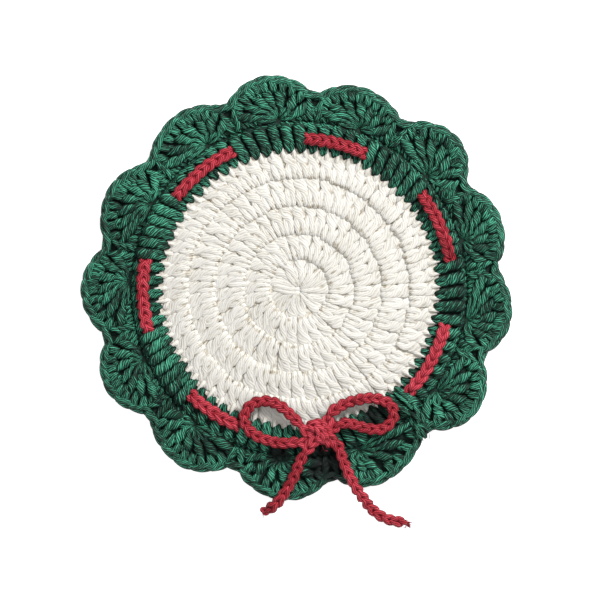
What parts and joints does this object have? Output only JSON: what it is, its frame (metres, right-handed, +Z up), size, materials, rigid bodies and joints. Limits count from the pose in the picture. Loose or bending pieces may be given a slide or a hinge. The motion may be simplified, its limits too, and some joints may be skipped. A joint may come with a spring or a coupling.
{
  "type": "crochet trivet",
  "caption": "Round crocheted table mat with a ribbed cream centre, a scalloped green shell border and a red chain lace threaded round it and tied in a bow.",
  "frame": {"origin": "middle of the cream centre's underside, on the surface that the trivet lies on", "axes": "+Z up through the mat; the bow is towards -Y; +X to the right as seen from above with the bow at the bottom"},
  "size_m": [0.2165, 0.2272, 0.0119],
  "materials": {
    "cream_cotton": "crocheted cream cotton yarn, matt",
    "green_cotton": "crocheted deep green cotton yarn, faint sheen",
    "red_cotton": "crochet chain of crimson cotton yarn, faint sheen"
  },
  "bodies": {
    "root": {"centre_disc": "cream_cotton", "shell_border": "green_cotton", "threaded_lace": "red_cotton", "bow_knot": "red_cotton", "bow_loop_left": "red_cotton", "bow_loop_right": "red_cotton", "lace_tail_left": "red_cotton", "lace_tail_right": "red_cotton"}
  },
  "joints": []
}
